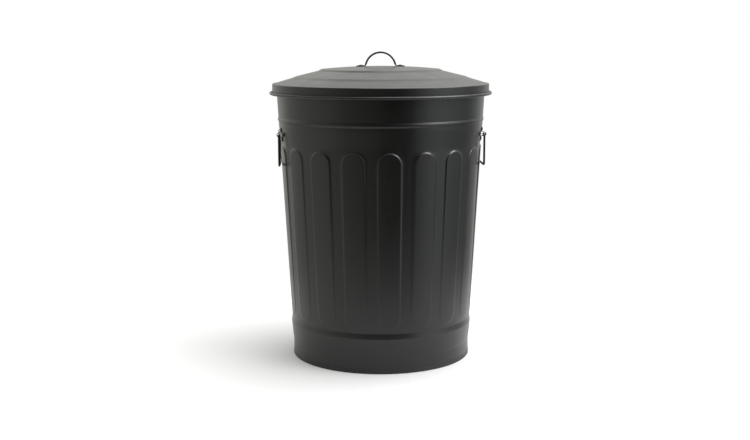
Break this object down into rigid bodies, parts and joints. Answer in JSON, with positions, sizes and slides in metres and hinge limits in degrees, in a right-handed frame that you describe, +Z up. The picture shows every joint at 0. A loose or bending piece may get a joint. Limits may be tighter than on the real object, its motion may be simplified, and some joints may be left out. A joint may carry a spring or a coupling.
{
  "type": "waste can with lift-off lid",
  "caption": "Tapered fluted sheet-steel waste can with a stepped lift-off lid, an arched lid handle and hanging wire side bails.",
  "frame": {"origin": "centre of the base, on the floor", "axes": "+Z up along the can's axis, +X through the right bail, -Y to the front"},
  "size_m": [0.4236, 0.4236, 0.5839],
  "materials": {
    "black_coat": "satin black powder coat on sheet steel",
    "lid_coat": "satin black powder coat on sheet steel",
    "lid_handle_coat": "satin black powder coat on a steel strap",
    "fittings": "satin black powder coat over straps and rivets",
    "bails": "smooth black coated steel wire",
    "bare_wire": "plain drawn steel wire inside a curl",
    "zinc": "zinc plated"
  },
  "bodies": {
    "can": {"body_wall": "black_coat", "base_pan": "black_coat", "rim_wire": "bare_wire", "left_front_bracket": "fittings", "left_rear_bracket": "fittings", "right_front_bracket": "fittings", "right_rear_bracket": "fittings", "left_front_rivets": "fittings", "left_rear_rivets": "fittings", "right_front_rivets": "fittings", "right_rear_rivets": "fittings"},
    "left_bail": {"left_bail": "bails"},
    "right_bail": {"right_bail": "bails"},
    "lid": {"lid_shell": "lid_coat", "lid_rim_wire": "bare_wire", "lid_handle": "lid_handle_coat", "lid_handle_rivets": "lid_handle_coat", "lid_handle_washers": "zinc"}
  },
  "joints": [
    {"name": "left_bail_swing", "type": "hinge", "parent": "can", "child": "left_bail", "pos_m": [-0.1934, 0, 0.4292], "axis": [0, 1, 0], "range_deg": [-0.5, 170]},
    {"name": "right_bail_swing", "type": "hinge", "parent": "can", "child": "right_bail", "pos_m": [0.1934, 0, 0.4292], "axis": [0, -1, 0], "range_deg": [-0.5, 170]},
    {"name": "lid_lift", "type": "slide", "parent": "can", "child": "lid", "axis": [0, 0, 1], "range_m": [0, 0.25]}
  ]
}
